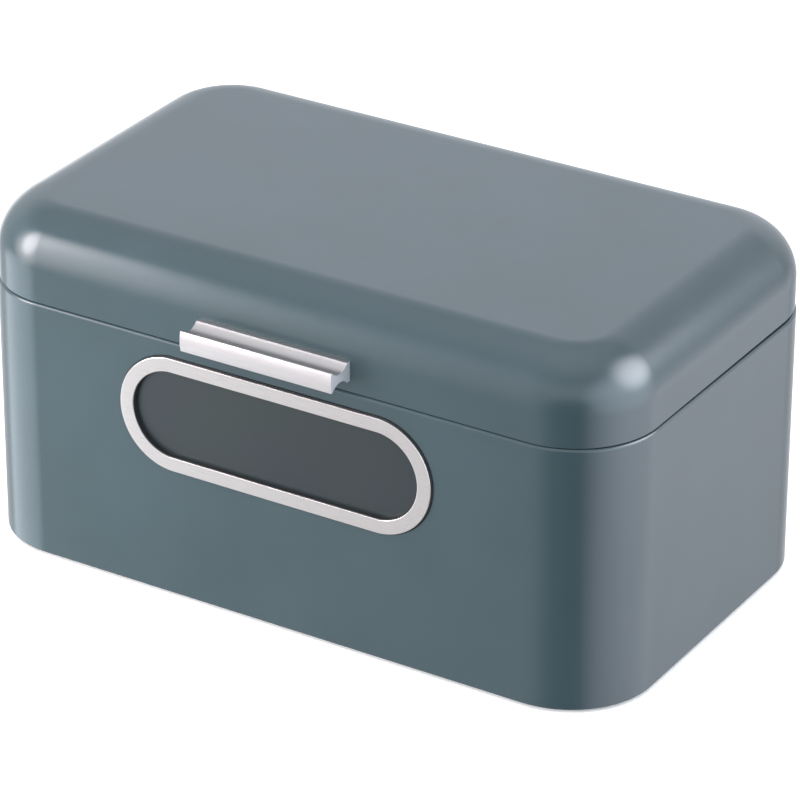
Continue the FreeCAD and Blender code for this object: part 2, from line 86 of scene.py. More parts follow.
class EditSession:
    """One piece in edit mode, with faces and edges chosen by their place."""

    def __init__(self, piece: bpy.types.Object) -> None:
        """Keeps the piece that is being edited."""
        self.piece = piece

    @property
    def mesh(self) -> bmesh.types.BMesh:
        """The piece's mesh as edit mode holds it."""
        return bmesh.from_edit_mesh(self.piece.data)

    def _choose(
        self,
        items: Callable[[bmesh.types.BMesh], Iterable[Element]],
        mode: str,
        test: Callable[[Element], bool],
    ) -> int:
        """Selects the items that pass a test, and nothing else.

        Args:
            items: takes the faces, edges or vertices from the edited mesh.
            mode: FACE, EDGE or VERT.
            test: says whether an item is wanted.

        Returns:
            How many items were selected.
        """
        bpy.ops.mesh.select_mode(type=mode)
        bpy.ops.mesh.select_all(action="DESELECT")
        chosen = [item for item in items(self.mesh) if test(item)]
        for item in chosen:
            item.select_set(True)
        self.mesh.select_flush_mode()
        bmesh.update_edit_mesh(self.piece.data)
        return len(chosen)

    def faces(self, test: Callable[[bmesh.types.BMFace], bool]) -> int:
        """Selects the faces that pass a test and returns how many they are."""
        return self._choose(lambda mesh: mesh.faces, "FACE", test)

    def edges(self, test: Callable[[bmesh.types.BMEdge], bool]) -> int:
        """Selects the edges that pass a test and returns how many they are."""
        return self._choose(lambda mesh: mesh.edges, "EDGE", test)

    def points(self, test: Callable[[bmesh.types.BMVert], bool]) -> int:
        """Selects the vertices that pass a test and returns how many they are."""
        return self._choose(lambda mesh: mesh.verts, "VERT", test)

    def level_face(self, z: float, facing: int) -> None:
        """Selects the large level face at a height.

        Args:
            z: the face's height in metres.
            facing: 1 for a face that looks up, -1 for one that looks down.
        """
        self.faces(lambda f: abs(f.calc_center_median().z - z) < TOLERANCE and f.normal.z * facing > LEVEL)

    def round_edges(self, radius: float, segments: int) -> None:
        """Rounds the selected edges.

        Args:
            radius: the rounding's radius in metres.
            segments: the number of faces across it.
        """
        bpy.ops.mesh.bevel(
            offset_type="OFFSET", offset=radius, segments=segments, profile=0.5, affect="EDGES",
            clamp_overlap=False,
        )

    def rise(self, height: float) -> None:
        """Extrudes the selected face straight up, or down where the height is negative."""
        bpy.ops.mesh.extrude_region_move(TRANSFORM_OT_translate={"value": (0, 0, height)})

    def inset(self, thickness: float) -> None:
        """Insets the selected faces evenly."""
        bpy.ops.mesh.inset(thickness=thickness, depth=0, use_even_offset=True)

    def spread(self, margin: float, radius: float) -> None:
        """Moves the selected face's round-cornered outline outwards in plan.

        Args:
            margin: how far each side moves, in metres.
            radius: the radius of the outline's corners before the move.
        """
        chosen = {v.index for v in self.mesh.verts if v.select}
        places = [v.co.xy for v in self.mesh.verts if v.select]
        low = Vector(min(p[i] for p in places) for i in range(2))
        high = Vector(max(p[i] for p in places) for i in range(2))
        middle = (low + high) / 2
        scale = (radius + margin) / radius
        for side_x, side_y in product((1, -1), repeat=2):
            corner = middle + Vector((side_x, side_y)) * ((high - low) / 2 - Vector((radius, radius)))
            self.points(
                lambda v: v.index in chosen
                and (v.co.x - middle.x) * side_x > 0
                and (v.co.y - middle.y) * side_y > 0
            )
            bpy.ops.transform.resize(value=(scale, scale, 1), center_override=(*corner, 0))
        self.faces(lambda f: all(v.index in chosen for v in f.verts))

    def bridge_openings(self) -> None:
        """Deletes the selected faces and joins the two openings that they leave."""
        bpy.ops.mesh.delete(type="ONLY_FACE")
        self.edges(lambda e: len(e.link_faces) < 2)
        bpy.ops.mesh.bridge_edge_loops()


@contextmanager
def editing(piece: bpy.types.Object) -> Iterator[EditSession]:
    """Opens a piece in edit mode with nothing selected, and closes it again.

    Args:
        piece: the piece to edit.

    Yields:
        The session that selects and shapes its faces and edges.
    """
    pick(piece)
    bpy.ops.object.mode_set(mode="EDIT")
    bpy.ops.mesh.select_all(action="DESELECT")
    try:
        yield EditSession(piece)
    finally:
        bpy.ops.object.mode_set(mode="OBJECT")


def pick(piece: bpy.types.Object) -> None:
    """Makes a piece the only selected object and the active one.

    Args:
        piece: the object that the next operators act on.
    """
    bpy.ops.object.select_all(action="DESELECT")
    piece.select_set(True)
    bpy.context.view_layer.objects.active = piece


def settle(piece: bpy.types.Object, name: str) -> bpy.types.Object:
    """Names a fresh primitive and moves its place into its mesh.

    Args:
        piece: the primitive that was just added.
        name: the name for it and its mesh.

    Returns:
        The same object, at the origin, unturned and unscaled.
    """
    piece.name = name
    piece.data.name = name
    pick(piece)
    bpy.ops.object.transform_apply(location=True, rotation=True, scale=True)
    return piece


def block(name: str, low: Vector, high: Vector) -> bpy.types.Object:
    """Adds a cube primitive stretched between two corners.

    Args:
        name: the new piece's name.
        low: the corner with the smallest coordinates.
        high: the opposite corner.

    Returns:
        The new object, at the origin with its place in its mesh.
    """
    bpy.ops.object.select_all(action="DESELECT")
    bpy.ops.mesh.primitive_cube_add(size=1, location=(low + high) / 2)
    piece = bpy.context.object
    piece.scale = high - low
    return settle(piece, name)


def rod(
    name: str, centre: Vector, radius: float, length: float, along: str, facets: int
) -> bpy.types.Object:
    """Adds a cylinder primitive along X or Y.

    Args:
        name: the new piece's name.
        centre: the middle of the cylinder.
        radius: its radius.
        length: its length.
        along: X or Y.
        facets: the number of faces round it.

    Returns:
        The new object, at the origin with its place in its mesh.
    """
    quarter = math.pi / 2
    turn = (0, quarter, 0) if along == "X" else (quarter, 0, 0)
    bpy.ops.object.select_all(action="DESELECT")
    bpy.ops.mesh.primitive_cylinder_add(
        vertices=facets, radius=radius, depth=length, location=centre, rotation=turn
    )
    return settle(bpy.context.object, name)


def apply_modifier(piece: bpy.types.Object, kind: str, **settings: object) -> None:
    """Adds a modifier with its settings and applies it.

    Args:
        piece: the object that it shapes.
        kind: the modifier's type name.
        settings: the modifier's own properties.
    """
    pick(piece)
    modifier = piece.modifiers.new(kind.lower(), kind)
    for key, value in settings.items():
        setattr(modifier, key, value)
    bpy.ops.object.modifier_apply(modifier=modifier.name)


def cut(piece: bpy.types.Object, tool: bpy.types.Object, keep: Keep = Keep.OUTSIDE) -> None:
    """Cuts a piece with a closed tool, and removes the tool.

    Args:
        piece: the piece that is cut.
        tool: the closed shape it is cut with.
        keep: whether what lies outside or inside the tool stays.
    """
    apply_modifier(piece, "BOOLEAN", operation=keep.value, object=tool, solver="EXACT")
    bpy.data.objects.remove(tool, do_unlink=True)


def smooth(piece: bpy.types.Object, sharp_above: float = 35.0) -> None:
    """Shades a piece smooth, with flat faces kept flat by area-weighted normals.

    Args:
        piece: the piece to shade.
        sharp_above: edges that turn by more degrees than this stay sharp.
    """
    pick(piece)
    bpy.ops.object.shade_smooth_by_angle(angle=math.radians(sharp_above))
    apply_modifier(piece, "WEIGHTED_NORMAL", mode="FACE_AREA", weight=50, keep_sharp=True)


def break_edges(
    piece: bpy.types.Object, width: float, segments: int = 3, sharp_above: float = 40.0
) -> None:
    """Rounds every sharp edge of a piece.

    Args:
        piece: the piece to round.
        width: the width of each rounding, in metres.
        segments: the number of faces across it.
        sharp_above: edges that turn by more degrees than this are rounded.
    """
    apply_modifier(
        piece, "BEVEL", width=width, segments=segments, limit_method="ANGLE",
        angle_limit=math.radians(sharp_above), use_clamp_overlap=True,
    )


def is_upright(edge: bmesh.types.BMEdge) -> bool:
    """Whether an edge runs straight up."""
    start, end = (v.co for v in edge.verts)
    return abs(start.z - end.z) > 1 * MM and (start.xy - end.xy).length < TOLERANCE


def edge_at(z: float) -> Callable[[bmesh.types.BMEdge], bool]:
    """A test for edges that lie at one height."""
    return lambda edge: all(abs(v.co.z - z) < TOLERANCE for v in edge.verts)


# ------------------------------------------------------------------ materials
def linear(hex_colour: str) -> tuple[float, float, float, float]:
    """Turns an sRGB hex colour into linear red, green, blue and an alpha of one.

    Args:
        hex_colour: the colour as #RRGGBB.

    Returns:
        The linear colour that a shader socket takes.
    """
    values = [int(hex_colour[i : i + 2], 16) / 255 for i in (1, 3, 5)]
    red, green, blue = (v / 12.92 if v <= 0.04045 else ((v + 0.055) / 1.055) ** 2.4 for v in values)
    return (red, green, blue, 1.0)


def feed(tree: bpy.types.NodeTree, node: bpy.types.Node, **inputs: object) -> None:
    """Sets or links a node's sockets.

    Args:
        tree: the tree that holds the node.
        node: the node whose sockets are fed.
        inputs: a value, or a node or output to link, for each socket by its identifier; its spaces
            are underscores. A node stands for its first output.
    """
    sockets = {socket.identifier.replace(" ", "_"): socket for socket in node.inputs}
    for name, value in inputs.items():
        socket = sockets[name]
        if isinstance(value, bpy.types.Node):
            value = value.outputs[0]
        if isinstance(value, bpy.types.NodeSocket):
            tree.links.new(value, socket)
        else:
            socket.default_value = value


def add_node(
    tree: bpy.types.NodeTree, kind: str, settings: dict[str, object] | None = None,
    stops: Sequence[tuple[float, str]] = (), **inputs: object,
) -> bpy.types.Node:
    """Adds a node with its settings, colour stops, socket values and links.

    Args:
        tree: the tree that the node joins.
        kind: the node's type name.
        settings: the node's own properties.
        stops: for a colour ramp, pairs of place, from 0 to 1, and sRGB hex colour.
        inputs: what each socket gets, as feed takes it.

    Returns:
        The new node.
    """
    node = tree.nodes.new(kind)
    for key, value in (settings or {}).items():
        setattr(node, key, value)
    for index, (place, colour) in enumerate(stops):
        elements = node.color_ramp.elements
        element = elements[index] if index < len(elements) else elements.new(place)
        element.position, element.color = place, linear(colour)
    feed(tree, node, **inputs)
    return node


def per_metre(cell_mm: float) -> float:
    """How many cells of a size in millimetres fit in a metre, which is a pattern's scale."""
    return 1 / (cell_mm * MM)


@dataclass(frozen=True)
class Finish:
    """A surface finish that becomes one procedural material."""

    name: str

    @cache
    def material(self) -> bpy.types.Material:
        """The finish as a material, made once and shared by the pieces that have it."""
        made = bpy.data.materials.new(self.name)
        made.use_nodes = True
        tree = made.node_tree
        place = add_node(tree, "ShaderNodeTexCoord").outputs["Object"]
        self.paint(tree, tree.nodes["Principled BSDF"], place)
        return made

    def paint(self, tree: bpy.types.NodeTree, shader: bpy.types.Node, place: bpy.types.NodeSocket) -> None:
        """Sets the shader's sockets and builds the pattern that feeds them.

        Args:
            tree: the material's node tree.
            shader: its Principled BSDF.
            place: the Object coordinates, in metres.
        """
        raise NotImplementedError

    def dress(self, piece: bpy.types.Object) -> None:
        """Gives the finish to every material slot of a piece, and a slot to a piece with none.

        Args:
            piece: a modelled piece or a CAD node.
        """
        if not piece.material_slots:
            piece.data.materials.append(None)
        for slot in piece.material_slots:
            slot.material = self.material()

    def dress_faces(self, piece: bpy.types.Object, test: Callable[[bpy.types.MeshPolygon], bool]) -> None:
        """Gives the finish to some faces of a piece, in a slot of its own.

        Args:
            piece: a modelled piece.
            test: says whether a face gets the finish.
        """
        piece.data.materials.append(self.material())
        for face in piece.data.polygons:
            if test(face):
                face.material_index = len(piece.material_slots) - 1


@dataclass(frozen=True)
class SlateLacquer(Finish):
    """Stoved slate lacquer on drawn steel: a dark blue-green grey under a smooth satin skin.

    The eye sees soft studio reflections on it, a very slight orange peel in their edges, and no
    grain.
    """

    name: str = "slate_lacquer"
    colour: str = "#35474C"
    colour_cloud: str = "#394B51"
    cloud_mm: float = 70.0
    roughness: float = 0.18
    roughness_range: float = 0.02
    mottle_mm: float = 9.0
    peel_mm: float = 2.6
    peel_height_mm: float = 0.0015

    def paint(self, tree: bpy.types.NodeTree, shader: bpy.types.Node, place: bpy.types.NodeSocket) -> None:
        """Clouds the colour faintly and gives the skin its orange peel.

        Args:
            tree: the material's node tree.
            shader: its Principled BSDF.
            place: the Object coordinates, in metres.
        """
        clouds = add_node(tree, "ShaderNodeTexNoise", Vector=place, Scale=per_metre(self.cloud_mm))
        colour = add_node(
            tree, "ShaderNodeValToRGB", Fac=clouds,
            stops=[(TONE_LOW, self.colour), (TONE_HIGH, self.colour_cloud)],
        )
        mottle = add_node(tree, "ShaderNodeTexNoise", Vector=place, Scale=per_metre(self.mottle_mm))
        rough = add_node(
            tree, "ShaderNodeMapRange", Value=mottle, From_Min=NOISE_LOW, From_Max=NOISE_HIGH,
            To_Min=self.roughness - self.roughness_range, To_Max=self.roughness + self.roughness_range,
        )
        peel = add_node(tree, "ShaderNodeTexNoise", Vector=place, Scale=per_metre(self.peel_mm), Detail=0.0)
        skin = add_node(tree, "ShaderNodeBump", Height=peel, Distance=self.peel_height_mm * MM)
        feed(tree, shader, Base_Color=colour, Roughness=rough, IOR=1.5, Normal=skin)


@dataclass(frozen=True)
class BrushedMetal(Finish):
    """Metal ground along X: short bright and dark hairlines that blur reflections across them.

    The grit is drawn coarser than the real 0.05 mm so that it shows.
    """

    name: str = "brushed_stainless"
    colour: str = "#D2CCC8"
    colour_line: str = "#CAC4C0"
    line_mm: float = 0.22
    line_stretch: float = 60.0
    roughness: float = 0.30
    roughness_range: float = 0.05
    anisotropy: float = 0.3
    line_height_mm: float = 0.002

    def paint(self, tree: bpy.types.NodeTree, shader: bpy.types.Node, place: bpy.types.NodeSocket) -> None:
        """Draws the hairlines in colour, roughness and height.

        Args:
            tree: the material's node tree.
            shader: its Principled BSDF.
            place: the Object coordinates, in metres.
        """
        across = per_metre(self.line_mm)
        along = across / self.line_stretch
        ground = add_node(tree, "ShaderNodeMapping", Vector=place, Scale=(along, across, across))
        lines = add_node(tree, "ShaderNodeTexNoise", Vector=ground, Scale=1.0, Detail=3.0)
        colour = add_node(
            tree, "ShaderNodeValToRGB", Fac=lines,
            stops=[(TONE_LOW, self.colour_line), (TONE_HIGH, self.colour)],
        )
        rough = add_node(
            tree, "ShaderNodeMapRange", Value=lines, From_Min=NOISE_LOW, From_Max=NOISE_HIGH,
            To_Min=self.roughness - self.roughness_range, To_Max=self.roughness + self.roughness_range,
        )
        relief = add_node(
            tree, "ShaderNodeBump", Height=lines, Strength=0.6, Distance=self.line_height_mm * MM
        )
        feed(
            tree, shader, Base_Color=colour, Metallic=1.0, Roughness=rough,
            Anisotropic=self.anisotropy, Normal=relief,
        )


@dataclass(frozen=True)
class ZincPlate(Finish):
    """Bright zinc plating on small pressed parts: grey, a little cloudy, with a soft shine."""

    name: str = "zinc_plate"
    colour: str = "#B4B7B9"
    colour_cloud: str = "#A1A5A9"
    cloud_mm: float = 4.0
    roughness_bright: float = 0.26
    roughness_dull: float = 0.40

    def paint(self, tree: bpy.types.NodeTree, shader: bpy.types.Node, place: bpy.types.NodeSocket) -> None:
        """Clouds the plating's colour and shine.

        Args:
            tree: the material's node tree.
            shader: its Principled BSDF.
            place: the Object coordinates, in metres.
        """
        scale = per_metre(self.cloud_mm)
        clouds = add_node(tree, "ShaderNodeTexNoise", Vector=place, Scale=scale, Detail=4.0)
        colour = add_node(
            tree, "ShaderNodeValToRGB", Fac=clouds,
            stops=[(TONE_LOW, self.colour), (TONE_HIGH, self.colour_cloud)],
        )
        rough = add_node(
            tree, "ShaderNodeMapRange", Value=clouds, From_Min=NOISE_LOW, From_Max=NOISE_HIGH,
            To_Min=self.roughness_bright, To_Max=self.roughness_dull,
        )
        feed(tree, shader, Base_Color=colour, Metallic=1.0, Roughness=rough)


@dataclass(frozen=True)
class MouldedRubber(Finish):
    """Moulded rubber: near black, or milky for silicone, matt, with the fine texture of its mould."""

    name: str = "moulded_black_rubber"
    colour: str = "#16181A"
    colour_rubbed: str = "#202326"
    texture_mm: float = 0.5
    roughness: float = 0.62
    roughness_range: float = 0.06
    texture_height_mm: float = 0.01

    def paint(self, tree: bpy.types.NodeTree, shader: bpy.types.Node, place: bpy.types.NodeSocket) -> None:
        """Gives the rubber its mould texture and slight colour change.

        Args:
            tree: the material's node tree.
            shader: its Principled BSDF.
            place: the Object coordinates, in metres.
        """
        texture = add_node(tree, "ShaderNodeTexNoise", Vector=place, Scale=per_metre(self.texture_mm))
        colour = add_node(
            tree, "ShaderNodeValToRGB", Fac=texture,
            stops=[(TONE_LOW, self.colour), (TONE_HIGH, self.colour_rubbed)],
        )
        rough = add_node(
            tree, "ShaderNodeMapRange", Value=texture, From_Min=NOISE_LOW, From_Max=NOISE_HIGH,
            To_Min=self.roughness - self.roughness_range, To_Max=self.roughness + self.roughness_range,
        )
        relief = add_node(
            tree, "ShaderNodeBump", Height=texture, Strength=0.6, Distance=self.texture_height_mm * MM
        )
        feed(tree, shader, Base_Color=colour, Roughness=rough, IOR=1.5, Normal=relief)


@dataclass(frozen=True)
class SmokedAcrylicWithPaintedShade(Finish):
    """Cast acrylic sheet drawn opaque and nearly black, partly from its smoke tint and partly as painted
    shade of the bin's dark inside behind it, with a slight haze on its skin.

    The eye sees a dark sheet that is a little greener at one side and bluer at the other.
    """

    name: str = "cast_smoked_acrylic"
    # Nearly black: partly the smoke tint, partly painted shade of the bin's dark inside.
    colour: str = "#222C2B"
    colour_cloud: str = "#20292E"
    tint_mm: float = 60.0
    roughness: float = 0.3
    roughness_range: float = 0.01
    haze_mm: float = 30.0

    def paint(self, tree: bpy.types.NodeTree, shader: bpy.types.Node, place: bpy.types.NodeSocket) -> None:
        """Tints the sheet unevenly and hazes its skin.

        Args:
            tree: the material's node tree.
            shader: its Principled BSDF.
            place: the Object coordinates, in metres.
        """
        # The nearly black colour is partly the smoke tint and partly painted shade of the dark inside.
        clouds = add_node(tree, "ShaderNodeTexNoise", Vector=place, Scale=per_metre(self.tint_mm))
        colour = add_node(
            tree, "ShaderNodeValToRGB", Fac=clouds,
            stops=[(TONE_LOW, self.colour), (TONE_HIGH, self.colour_cloud)],
        )
        haze = add_node(tree, "ShaderNodeTexNoise", Vector=place, Scale=per_metre(self.haze_mm))
        rough = add_node(
            tree, "ShaderNodeMapRange", Value=haze, From_Min=NOISE_LOW, From_Max=NOISE_HIGH,
            To_Min=self.roughness - self.roughness_range, To_Max=self.roughness + self.roughness_range,
        )
        feed(tree, shader, Base_Color=colour, Roughness=rough, IOR=1.49)


LACQUER = SlateLacquer()
# The same lacquer inside, which is sprayed thinner and shines less.
INNER_LACQUER = SlateLacquer(name="slate_lacquer_inside", roughness=0.34, mottle_mm=5.0)
STAINLESS = BrushedMetal()
# Extruded bar, satin anodised: an even pale metal whose drawing lines hardly show.
ALUMINIUM = BrushedMetal(
    name="satin_anodised_aluminium", colour="#D8D3D1", colour_line="#D1CCCA", line_mm=0.3,
    line_stretch=30.0, roughness=0.32, anisotropy=0.0, line_height_mm=0.002,
)
# The bar's grooves get a darker, greyer colour, which is painted shade and a painted dark reflection of the
# lid in their hollows, and a slightly rougher skin.
GROOVE_SHADE_ALUMINIUM = BrushedMetal(
    name="drawn_aluminium", colour="#AFACAB", colour_line="#A8A5A4", line_mm=0.3, line_stretch=40.0,
    roughness=0.36, anisotropy=0.0, line_height_mm=0.002,
)
# The bar's sawn ends: rough, and paler than its drawn faces.
SAWN_ALUMINIUM = BrushedMetal(
    name="sawn_aluminium", colour="#DADADC", colour_line="#CDCDD0", line_mm=0.25, line_stretch=1.0,
    roughness=0.55, anisotropy=0.0, line_height_mm=0.006,
)
ZINC = ZincPlate()
RUBBER = MouldedRubber()
# Moulded silicone: milky, smoother than the rubber feet.
SILICONE = MouldedRubber(
    name="milky_silicone", colour="#C9CBC8", colour_rubbed="#D6D8D5", texture_mm=0.8, roughness=0.45
)
# The pane's nearly black colour is partly painted shade of the bin's dark inside.
ACRYLIC_WITH_PAINTED_SHADE = SmokedAcrylicWithPaintedShade()


# ------------------------------------------------------------------ sub-assemblies
def place_piece(piece: bpy.types.Object, body: str, node: str) -> None:
    """Makes a piece ride on a body in place of a CAD node.

    Args:
        piece: the finished piece.
        body: the CAD body that it moves with.
        node: the CAD node that it stands for.
    """
    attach(piece, body)
    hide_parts(node)
    log.info("%s: %d faces, rides on %s", piece.name, len(piece.data.polygons), body)


@dataclass
class BaseBody:
    """The wrapped steel wall with its hem, shoulder, ledge and neck."""

    sheet: float = 0.6 * MM
    corner_radius: float = 52 * MM
    corner_segments: int = 32
    shoulder_radius: float = 1.8 * MM
    shoulder_segments: int = 8
    neck_inset: float = 3.2 * MM
    neck_rise: float = 6 * MM
    hem_lip: float = 2.2 * MM
    hem_rounding: float = 0.35 * MM
    hem_segments: int = 3
    vent_count: int = 7
    vent_pitch: float = 18 * MM
    vent_radius: float = 3 * MM
    vent_height: float = 132 * MM
    vent_tool_length: float = 6 * MM
    vent_facets: int = 32
    finish: Finish = LACQUER

    def build(self, window: "Window") -> bpy.types.Object:
        """Models the wall as one closed sheet.

        Args:
            window: the window that the wall is pierced for.

        Returns:
            The finished piece.
        """
        low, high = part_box("base_wall")
        low, high = Vector(low), Vector(high)
        ledge = high.z - self.neck_rise
        piece = block("base_body", low, Vector((high.x, high.y, ledge)))
        with editing(piece) as edit:
            edit.edges(is_upright)
            edit.round_edges(self.corner_radius, self.corner_segments)
            edit.edges(edge_at(ledge))
            edit.round_edges(self.shoulder_radius, self.shoulder_segments)
            edit.level_face(ledge, 1)
            edit.inset(self.neck_inset - self.shoulder_radius)
            edit.rise(self.neck_rise)
            edit.inset(self.sheet)
            edit.edges(edge_at(low.z))
            edit.round_edges(self.hem_rounding, self.hem_segments)
            edit.level_face(low.z, -1)
            edit.inset(self.sheet + self.hem_lip - self.hem_rounding)
            edit.rise(self.sheet)
            edit.rise(0)
            edit.spread(self.hem_lip, self.corner_radius - self.sheet - self.hem_lip)
            edit.rise(ledge - low.z - 2 * self.sheet)
            edit.inset(self.neck_inset)
            edit.faces(lambda f: len(f.verts) > 4 * self.corner_segments)
            edit.bridge_openings()
        cut(piece, window.recess_tool(low.y))
        cut(piece, window.opening_tool(low.y))
        for index in range(self.vent_count):
            x = (index - (self.vent_count - 1) / 2) * self.vent_pitch
            centre = Vector((x, high.y, self.vent_height))
            tool = rod("vent_tool", centre, self.vent_radius, self.vent_tool_length, "Y", self.vent_facets)
            cut(piece, tool)
        smooth(piece)
        self.finish.dress(piece)
        place_piece(piece, "base", "base_wall")
        return piece


@dataclass
class Window:
    """The framed window: a brushed ring, a black seal round it and a dark pane behind it."""

    half_straight: float = 66.8 * MM
    inner_radius: float = 27.0 * MM
    seal_margin: float = 0.6 * MM
    lining: float = 1.4 * MM
    recess_depth: float = 0.3 * MM
    recess_slope: float = 0.3 * MM
    edge_round: float = 0.35 * MM
    lip_round: float = 0.2 * MM
    pane_round: float = 0.3 * MM
    tool_reach: float = 4 * MM
    facets: int = 98  # not a multiple of four, so that the halves part across an edge
    frame_finish: Finish = STAINLESS
    seal_finish: Finish = RUBBER
    pane_finish: Finish = ACRYLIC_WITH_PAINTED_SHADE
    centre_z: float = field(init=False)
    outer_radius: float = field(init=False)

    def __post_init__(self) -> None:
        """Reads the frame's height and radius from the CAD model."""
        low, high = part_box("window_frame")
        self.centre_z = (low[2] + high[2]) / 2
        self.outer_radius = (high[2] - low[2]) / 2

    def slab(self, name: str, radius: float, y_front: float, y_back: float) -> bpy.types.Object:
        """Models a round-ended plate by parting the two halves of a cylinder.

        Args:
            name: the new piece's name.
            radius: the radius of its ends.
            y_front: the place of its front face.
            y_back: the place of its back face.

        Returns:
            The plate.
        """
        centre = Vector((0, (y_front + y_back) / 2, self.centre_z))
        piece = rod(name, centre, radius, y_back - y_front, "Y", self.facets)
        with editing(piece) as edit:
            for side in (1, -1):
                edit.points(lambda v: v.co.x * side > 0 and abs(v.co.x) < radius + TOLERANCE)
                bpy.ops.transform.translate(value=(side * self.half_straight, 0, 0))
        return piece

    def ring(
        self, name: str, outer: float, inner: float, y_front: float, y_back: float
    ) -> bpy.types.Object:
        """Models a round-ended ring: a plate whose two faces are inset and joined through.

        Args:
            name: the new piece's name.
            outer: the radius of its outer ends.
            inner: the radius of its opening's ends.
            y_front: the place of its front face.
            y_back: the place of its back face.

        Returns:
            The ring.
        """
        piece = self.slab(name, outer, y_front, y_back)
        with editing(piece) as edit:
            edit.faces(lambda f: abs(f.normal.y) > LEVEL)
            edit.inset(outer - inner)
            bpy.ops.mesh.select_mode(type="FACE")
            edit.bridge_openings()
        return piece

    def recess_tool(self, wall_y: float) -> bpy.types.Object:
        """Models the shallow dish with a sloped rim that the seal sits in.

        Args:
            wall_y: the place of the wall's outer face.

        Returns:
            A cutting tool for the wall.
        """
        radius = self.outer_radius + self.seal_margin + self.recess_slope
        tool = self.slab("recess_tool", radius, wall_y - self.tool_reach, wall_y)
        with editing(tool) as edit:
            edit.faces(lambda f: f.normal.y > LEVEL)
            edit.inset(self.recess_slope)
            bpy.ops.transform.translate(value=(0, self.recess_depth, 0))
        return tool

    def opening_tool(self, wall_y: float) -> bpy.types.Object:
        """Models the wall's opening, as a cutting tool.

        Args:
            wall_y: the place of the wall's outer face.

        Returns:
            A cutting tool for the wall.
        """
        radius = self.inner_radius + self.lining
        return self.slab("opening_tool", radius, wall_y - self.tool_reach, wall_y + self.tool_reach)

    def build(self) -> None:
        """Models the ring, the seal and the pane."""
        self._build_frame()
        self._build_seal()
        self._build_pane()

    def _build_frame(self) -> None:
        """Models the brushed ring with softened edges."""
        low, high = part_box("window_frame")
        piece = self.ring("window_ring", self.outer_radius, self.inner_radius, low[1], high[1])
        break_edges(piece, self.edge_round)
        smooth(piece)
        self.frame_finish.dress(piece)
        place_piece(piece, "base", "window_frame")

    def _build_seal(self) -> None:
        """Models the seal's front lip and the lining of the wall's opening."""
        low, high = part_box("window_gasket")
        outer = self.outer_radius + self.seal_margin
        wall_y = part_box("base_wall")[0][1] + self.recess_depth
        lip = self.ring("window_seal", outer, self.inner_radius, low[1], wall_y)
        break_edges(lip, self.lip_round)
        lining_radius = self.inner_radius + self.lining
        lining = self.ring("seal_lining", lining_radius, self.inner_radius, wall_y, high[1])
        bpy.ops.object.select_all(action="DESELECT")
        lining.select_set(True)
        lip.select_set(True)
        bpy.context.view_layer.objects.active = lip
        bpy.ops.object.join()
        smooth(lip)
        self.seal_finish.dress(lip)
        place_piece(lip, "base", "window_gasket")

    def _build_pane(self) -> None:
        """Models the pane as a plate with polished edges."""
        low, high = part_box("window_pane")
        piece = self.slab("window_glazing", (high[2] - low[2]) / 2, low[1], high[1])
        break_edges(piece, self.pane_round, segments=2)
        smooth(piece)
        self.pane_finish.dress(piece)
        place_piece(piece, "base", "window_pane")


@dataclass
class LidCover:
    """The deep-drawn cover with its large top rounding and folded hem."""

    sheet: float = 0.6 * MM
    corner_radius: float = 51.2 * MM
    corner_segments: int = 32
    top_radius: float = 31 * MM
    top_segments: int = 28
    hem_thickness: float = 0.7 * MM
    hem_rise: float = 6 * MM
    rear_rise: float = 1.65 * MM
    rim_rounding: float = 0.3 * MM
    rim_segments: int = 3
    tilted_height: float = 2 * MM
    finish: Finish = LACQUER

    def build(self) -> bpy.types.Object:
        """Models the cover as one closed sheet, whose rim rises a little towards the rear.

        Returns:
            The finished piece.
        """
        low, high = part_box("lid_shell")
        low, high = Vector(low), Vector(high)
        piece = block("lid_cover", low, high)
        rim = self.sheet + self.hem_thickness
        with editing(piece) as edit:
            edit.edges(is_upright)
            edit.round_edges(self.corner_radius, self.corner_segments)
            edit.edges(edge_at(high.z))
            edit.round_edges(self.top_radius, self.top_segments)
            edit.edges(edge_at(low.z))
            edit.round_edges(self.rim_rounding, self.rim_segments)
            edit.level_face(low.z, -1)
            edit.inset(rim - self.rim_rounding)
            edit.rise(self.hem_rise)
            edit.rise(0)
            edit.spread(self.hem_thickness, self.corner_radius - rim)
            edit.rise(high.z - low.z - self.hem_rise - self.sheet)
            edit.edges(self._ceiling_edge(high.z - self.sheet))
            edit.round_edges(self.top_radius - self.sheet, self.top_segments // 2)
            edit.points(lambda v: v.co.z < low.z + self.tilted_height)
            tilt = math.atan2(self.rear_rise, high.y - low.y)
            bpy.ops.transform.rotate(value=-tilt, orient_axis="X", center_override=(0, low.y, low.z))
        smooth(piece)
        self.finish.dress(piece)
        place_piece(piece, "lid", "lid_shell")
        return piece

    @staticmethod
    def _ceiling_edge(z: float) -> Callable[[bmesh.types.BMEdge], bool]:
        """A test for the outline of the cover's inner ceiling.

        Args:
            z: the ceiling's height.

        Returns:
            A function that says whether an edge is on the outline.
        """
        return lambda edge: all(abs(v.co.z - z) < TOLERANCE for v in edge.verts) and any(
            f.normal.z < -0.9 for f in edge.link_faces
        )


